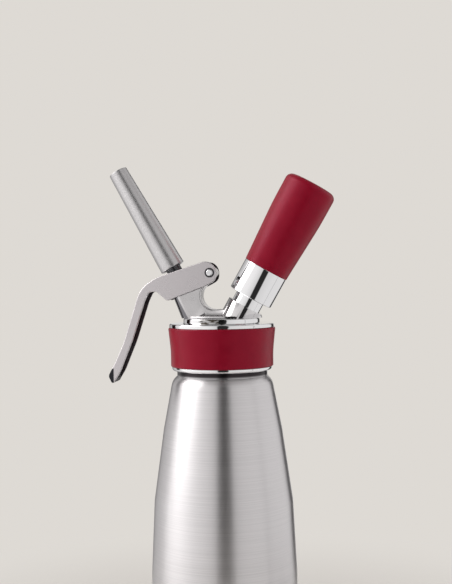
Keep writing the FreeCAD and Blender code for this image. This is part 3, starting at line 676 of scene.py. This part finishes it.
def spun(name, points, placing, steps=STEPS_ROUND):
    """Closed turned piece from a half outline whose ends lie on the axis or meet each other."""
    verts = []
    for point in points:
        for k in range(steps):
            angle = 2 * math.pi * k / steps
            radius = point.x * MM
            verts.append((radius * math.cos(angle), radius * math.sin(angle), point.y * MM))
    faces = []
    spots = []
    along = 0.0
    for i in range(len(points) - 1):
        reach = along + (points[i + 1] - points[i]).length / UV_LENGTH
        for k in range(steps):
            on = (k + 1) % steps
            faces.append((i * steps + k, i * steps + on, (i + 1) * steps + on, (i + 1) * steps + k))
            here, there = k / steps, (k + 1) / steps
            spots += [(here, along), (there, along), (there, reach), (here, reach)]
        along = reach
    mesh = bpy.data.meshes.new(name)
    mesh.from_pydata(verts, [], faces)
    uv = mesh.uv_layers.new(name="UVMap")
    for loop, spot in zip(uv.data, spots):
        loop.uv = spot
    return finish_mesh(name, mesh, placing)


# %% Stand in for a node
def stands_for(piece, node):
    """The piece takes the node's place, body and finish."""
    paint(piece, node)
    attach(piece, body_of[node])
    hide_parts(node)
    print(piece.name, "faces:", len(piece.data.polygons))


# %% [markdown]
# The bottle is deep drawn from one sheet: a foot ring, a body that narrows in one long bend, a
# rounded shoulder and a neck drawn up from it. Its outline is made outside and inside by the
# same function, one wall thickness apart, and the neck joins the two.

# %% The bottle
BODY_R = 47.0
BODY_TOP = 115.0
BODY_BEND = 500.0
SHOULDER_R = 31.5
SHOULDER_TOP = 197.0
SHOULDER_ROUND = 9.5
NECK_R = 29.2
NECK_TOP = 224.2
NECK_WALL = 2.0
NECK_LIP = 0.6
WALL = 1.0


def shoulder(inset):
    return [
        (BODY_R - inset, BODY_TOP, BODY_BEND),
        (SHOULDER_R - inset, SHOULDER_TOP - inset, SHOULDER_ROUND - inset),
        (0, SHOULDER_TOP - inset),
    ]


def up_to_neck(points, neck_r):
    """The part of a closed dome's outline outside the neck, ended on the neck's radius."""
    kept = []
    for point, following in zip(points, points[1:]):
        kept.append(point)
        if point.x > neck_r >= following.x:
            kept.append(point.lerp(following, (point.x - neck_r) / (point.x - following.x)))
            break
    return kept


outer_foot = [(0, 3.0), (35.0, 3.0, 2.0), (38.0, 0, 0.8), (BODY_R, 0, 6.0)]
inner_foot = [(0, 4.0), (BODY_R - WALL, 4.0, 5.0)]
outside = up_to_neck(rounded(outer_foot + shoulder(0)), NECK_R)
inside = up_to_neck(rounded(inner_foot + shoulder(WALL)), NECK_R - NECK_WALL)
mouth = rounded([
    outside[-1], (NECK_R, NECK_TOP, NECK_LIP), (NECK_R - NECK_WALL, NECK_TOP, NECK_LIP), inside[-1],
])
bottle = spun("bottle_shell", outside[:-1] + mouth + inside[-2::-1], UPRIGHT, STEPS_ROUND_LARGE)
stands_for(bottle, "bottle")

# %% [markdown]
# The band is a moulded silicone ring, stretched over the head's skirt. It is straight below and
# flares to a wider top edge that the hand grips when the head is screwed off.

# %% The silicone band round the head
BAND_INNER_R = 31.25
BAND_FOOT = 201.35
BAND_SEAM = 215.0
BAND_TOP = 226.25
BAND_R = 33.2
BAND_FLARE = 211.25
BAND_BEND = 60.0
BAND_TOP_R = 34.8

band_outline = rounded([
    (BAND_INNER_R, BAND_SEAM), (BAND_INNER_R, BAND_FOOT), (BAND_R, BAND_FOOT, 0.7),
    (BAND_R, BAND_FLARE, BAND_BEND), (BAND_TOP_R, BAND_TOP, 0.8), (BAND_INNER_R, BAND_TOP),
    (BAND_INNER_R, BAND_SEAM),
])
band = spun("head_band", band_outline, UPRIGHT, STEPS_ROUND_LARGE)
stands_for(band, "grip_band")

# %% [markdown]
# The tip is a long turned cone, open at its end, with a socket in its foot for the adapter.

# %% The tip
TIP_FOOT = 41.7
TIP_TOP = TIP_FOOT + 73.0
TIP_FOOT_R = 8.2
TIP_TOP_R = 6.25
TIP_MOUTH_R = 5.35
TIP_SOCKET_R = 6.25
TIP_SOCKET_END = 55.0
TIP_SEAM = 50.0
TIP_BORE_R = 4.6
TIP_BORE_FOOT = TIP_SOCKET_END + 3
TIP_BORE_TOP = TIP_TOP - 6

tip_outline = rounded([
    (TIP_SOCKET_R, TIP_SEAM), (TIP_SOCKET_R, TIP_FOOT, 0.5), (TIP_FOOT_R, TIP_FOOT, 0.6),
    (TIP_TOP_R, TIP_TOP, 0.5), (TIP_MOUTH_R, TIP_TOP, 0.4), (TIP_BORE_R, TIP_BORE_TOP, 10),
    (TIP_BORE_R, TIP_BORE_FOOT, 2), (TIP_SOCKET_R, TIP_SOCKET_END), (TIP_SOCKET_R, TIP_SEAM),
])
tip = spun("tip_cone", tip_outline, VALVE)
stands_for(tip, "decorator_tip")

# %% [markdown]
# The charger holder is a deep tube, closed at its top, with a polished collar at its foot. The
# sleeve is moulded over the tube and stands a little proud of the collar.

# %% The charger holder: polished collar and tube, and its silicone sleeve
HOLDER_FOOT = 19.1
HOLDER_BORE_R = 10.0
HOLDER_SEAM = 30.0
COLLAR_R = 14.75
COLLAR_TOP = HOLDER_FOOT + 20.7
TUBE_R = 12.2
TUBE_BORE_R = 9.3
TUBE_BORE_FOOT = 36.2
HOLDER_BORE_TOP = 35.2
TUBE_TOP = 99.5
TUBE_CEILING = TUBE_TOP - 3.2
SLEEVE_FOOT_R = 14.9
SLEEVE_R = 17.2
SLEEVE_MIDDLE = COLLAR_TOP + 40
SLEEVE_BEND = 200.0
SLEEVE_TOP_R = 17.3
SLEEVE_TOP = TUBE_TOP + 2.6
SLEEVE_SEAM = 60.0

collar_outline = rounded([
    (HOLDER_BORE_R, HOLDER_SEAM), (HOLDER_BORE_R, HOLDER_FOOT, 0.6), (COLLAR_R, HOLDER_FOOT, 0.5),
    (COLLAR_R, COLLAR_TOP, 0.25), (TUBE_R, COLLAR_TOP), (TUBE_R, TUBE_TOP, 2), (0, TUBE_TOP),
    (0, TUBE_CEILING), (TUBE_BORE_R, TUBE_CEILING, 3), (TUBE_BORE_R, TUBE_BORE_FOOT),
    (HOLDER_BORE_R, HOLDER_BORE_TOP), (HOLDER_BORE_R, HOLDER_SEAM),
])
collar = spun("holder_collar", collar_outline, CHARGER)
stands_for(collar, "holder_body")
sleeve_outline = rounded([
    (TUBE_R, SLEEVE_SEAM), (TUBE_R, COLLAR_TOP), (SLEEVE_FOOT_R, COLLAR_TOP, 0.4),
    (SLEEVE_R, SLEEVE_MIDDLE, SLEEVE_BEND), (SLEEVE_TOP_R, SLEEVE_TOP, 4.2), (0, SLEEVE_TOP), (0, TUBE_TOP),
    (TUBE_R, TUBE_TOP, 2), (TUBE_R, SLEEVE_SEAM),
])
sleeve = spun("holder_sleeve", sleeve_outline, CHARGER)
stands_for(sleeve, "holder_grip")

# %% [markdown]
# The holder screws onto a polished nipple. It stands in the boss on a narrower neck, and its top
# has a recess for the charger's seal.

# %% The nipple that the holder screws onto
NIPPLE_R = 9.7
NIPPLE_FOOT = 12.6
NIPPLE_TOP = 34.0
NIPPLE_NECK_R = 7.0
NIPPLE_NECK_FOOT = 8.5
SEAL_RECESS_R = 5.0
SEAL_FLOOR = 26.4
PIN_SEAT_R = 3.4
PIN_SEAT_FLOOR = 24.4
GAS_BORE_R = 1.6
NIPPLE_SEAM = 10.0

nipple_outline = rounded([
    (GAS_BORE_R, NIPPLE_SEAM), (GAS_BORE_R, NIPPLE_NECK_FOOT), (NIPPLE_NECK_R, NIPPLE_NECK_FOOT, 0.5),
    (NIPPLE_NECK_R, NIPPLE_FOOT), (NIPPLE_R, NIPPLE_FOOT), (NIPPLE_R, NIPPLE_TOP, 0.8),
    (SEAL_RECESS_R, NIPPLE_TOP, 0.5), (SEAL_RECESS_R, SEAL_FLOOR), (PIN_SEAT_R, SEAL_FLOOR),
    (PIN_SEAT_R, PIN_SEAT_FLOOR), (GAS_BORE_R, PIN_SEAT_FLOOR), (GAS_BORE_R, NIPPLE_SEAM),
])
nipple = spun("nipple", nipple_outline, CHARGER)
stands_for(nipple, "charger_stub")

# %% [markdown]
# ## Cast and pressed pieces
# The lever, the bridge and the cap keep the frame's own shapes. A copy of each is welded and
# gets normals weighted by face area, so that flat faces stay flat and the cast edges roll over.

# %% Smooth copies
FACE_WEIGHT = 90


def welded_copy(name, node):
    mesh = frame["nodes"][node].data.copy()
    mesh.name = name
    return finish_mesh(name, mesh, UPRIGHT)


def smooth_copy(name, node):
    piece = welded_copy(name, node)
    weigh = piece.modifiers.new("weigh_normals", "WEIGHTED_NORMAL")
    weigh.keep_sharp = True
    weigh.weight = FACE_WEIGHT
    graph = bpy.context.evaluated_depsgraph_get()
    shaped = bpy.data.meshes.new_from_object(piece.evaluated_get(graph))
    piece.modifiers.clear()
    piece.data = shaped
    stands_for(piece, node)
    return piece


smooth_copy("cast_bridge", "valve_bridge")
smooth_copy("cap", "lid_cap")
smooth_copy("rivet", "lever_pin")
smooth_copy("adapter", "tip_adapter")

# %% [markdown]
# The lever's channel gets painted shade: nearly black, as the inside between the cheeks lies in shadow. Its
# faces are told apart by where they lie and which way they look, and get a finish of their own.

# %% The lever with its channel in painted shade
CHANNEL_HALF_W = 7.05 * MM
CHANNEL_WALL = 0.9
INTO_CHANNEL = Vector((0.8, 0, -0.6))
CHANNEL_FLOOR = 0.2

lever = smooth_copy("cast_lever", "lever")
# Painted shade: the channel's faces take a nearly black finish.
lever.data.materials.append(satin_casting("lever_channel_painted_shade", (0.05, 0.042, 0.045), 0.5))
in_channel = 0
for face in lever.data.polygons:
    looks_inward = abs(face.normal.y) > CHANNEL_WALL or face.normal.dot(INTO_CHANNEL) > CHANNEL_FLOOR
    if abs(face.center.y) < CHANNEL_HALF_W and looks_inward:
        face.material_index = 1
        in_channel += 1
print("faces in the channel:", in_channel)

# %% [markdown]
# The return spring stands between the tower's floor and the thrust collar. When the lever is pressed the
# collar comes down and the coil closes up. Here a welded copy of the coil takes the spring's finish and
# stands for it, its placing baked into its mesh; it is attached to no body and keeps its length.

# %% The return spring
coil = welded_copy("return_spring", "valve_spring")
paint(coil, "valve_spring")
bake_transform(coil)
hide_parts("valve_spring")

# %% [markdown]
# ## Threads
# The neck, the nipple and the tip's adapter are threaded. A thread is one ridge that climbs
# round a rod, so a small Geometry Nodes tree winds it: a spiral curve with a round section.
# The same tree makes all three from their own radius, length, turns and ridge.

# %% The thread tree
POINTS_A_TURN = 64
RIDGE_SIDES = 8


def thread_tree():
    tree = bpy.data.node_groups.new("thread", "GeometryNodeTree")
    tree.interface.new_socket("Geometry", in_out="INPUT", socket_type="NodeSocketGeometry")
    for title in ("Radius", "Foot", "Length", "Turns", "Ridge"):
        tree.interface.new_socket(title, in_out="INPUT", socket_type="NodeSocketFloat")
    tree.interface.new_socket("Finish", in_out="INPUT", socket_type="NodeSocketMaterial")
    tree.interface.new_socket("Geometry", in_out="OUTPUT", socket_type="NodeSocketGeometry")
    given = tree.nodes.new("NodeGroupInput")
    spiral = tree.nodes.new("GeometryNodeCurveSpiral")
    spiral.inputs["Resolution"].default_value = POINTS_A_TURN
    section = tree.nodes.new("GeometryNodeCurvePrimitiveCircle")
    section.inputs["Resolution"].default_value = RIDGE_SIDES
    sweep = tree.nodes.new("GeometryNodeCurveToMesh")
    sweep.inputs["Fill Caps"].default_value = True
    lift = tree.nodes.new("ShaderNodeCombineXYZ")
    move = tree.nodes.new("GeometryNodeTransform")
    real = tree.nodes.new("GeometryNodeRealizeInstances")
    dress = tree.nodes.new("GeometryNodeSetMaterial")
    out = tree.nodes.new("NodeGroupOutput")
    link(tree, given.outputs["Turns"], spiral.inputs["Rotations"])
    link(tree, given.outputs["Radius"], spiral.inputs["Start Radius"])
    link(tree, given.outputs["Radius"], spiral.inputs["End Radius"])
    link(tree, given.outputs["Length"], spiral.inputs["Height"])
    link(tree, given.outputs["Ridge"], section.inputs["Radius"])
    link(tree, spiral.outputs["Curve"], sweep.inputs["Curve"])
    link(tree, section.outputs["Curve"], sweep.inputs["Profile Curve"])
    link(tree, given.outputs["Foot"], lift.inputs["Z"])
    link(tree, lift.outputs[0], move.inputs["Translation"])
    link(tree, sweep.outputs["Mesh"], move.inputs["Geometry"])
    link(tree, move.outputs["Geometry"], real.inputs["Geometry"])
    link(tree, real.outputs["Geometry"], dress.inputs["Geometry"])
    link(tree, given.outputs["Finish"], dress.inputs["Material"])
    link(tree, dress.outputs["Geometry"], out.inputs["Geometry"])
    return tree


THREAD = thread_tree()
print("thread tree of", len(THREAD.nodes), "nodes")


# %% Wind the threads
def thread(name, body, slot, placing, sizes):
    holder = bpy.data.objects.new(name, bpy.data.meshes.new(name))
    scene.collection.objects.link(holder)
    modifier = holder.modifiers.new("thread", "NODES")
    modifier.node_group = THREAD
    for item in THREAD.interface.items_tree:
        if item.in_out == "INPUT" and item.name in sizes:
            modifier[item.identifier] = float(sizes[item.name])
        if item.in_out == "INPUT" and item.name == "Finish":
            modifier[item.identifier] = finishes[slot]
    graph = bpy.context.evaluated_depsgraph_get()
    wound = bpy.data.meshes.new_from_object(holder.evaluated_get(graph))
    holder.modifiers.clear()
    wound.transform(placing)
    wound.shade_smooth()
    holder.data = wound
    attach(holder, body)
    print(name, "faces:", len(wound.polygons))


RIDGE = 0.22 * MM
ADAPTER_R = 4.9
thread("neck_thread", "bottle", "bottle_steel", UPRIGHT,
       {"Radius": NECK_R * MM, "Foot": 202 * MM, "Length": 18 * MM, "Turns": 5, "Ridge": RIDGE})
thread("nipple_thread", "head", "polished_steel", CHARGER,
       {"Radius": NIPPLE_R * MM, "Foot": 20 * MM, "Length": 13 * MM, "Turns": 10, "Ridge": RIDGE})
thread("adapter_thread", "valve", "turned_steel", VALVE,
       {"Radius": ADAPTER_R * MM, "Foot": 37.6 * MM, "Length": 3.6 * MM, "Turns": 4, "Ridge": RIDGE})
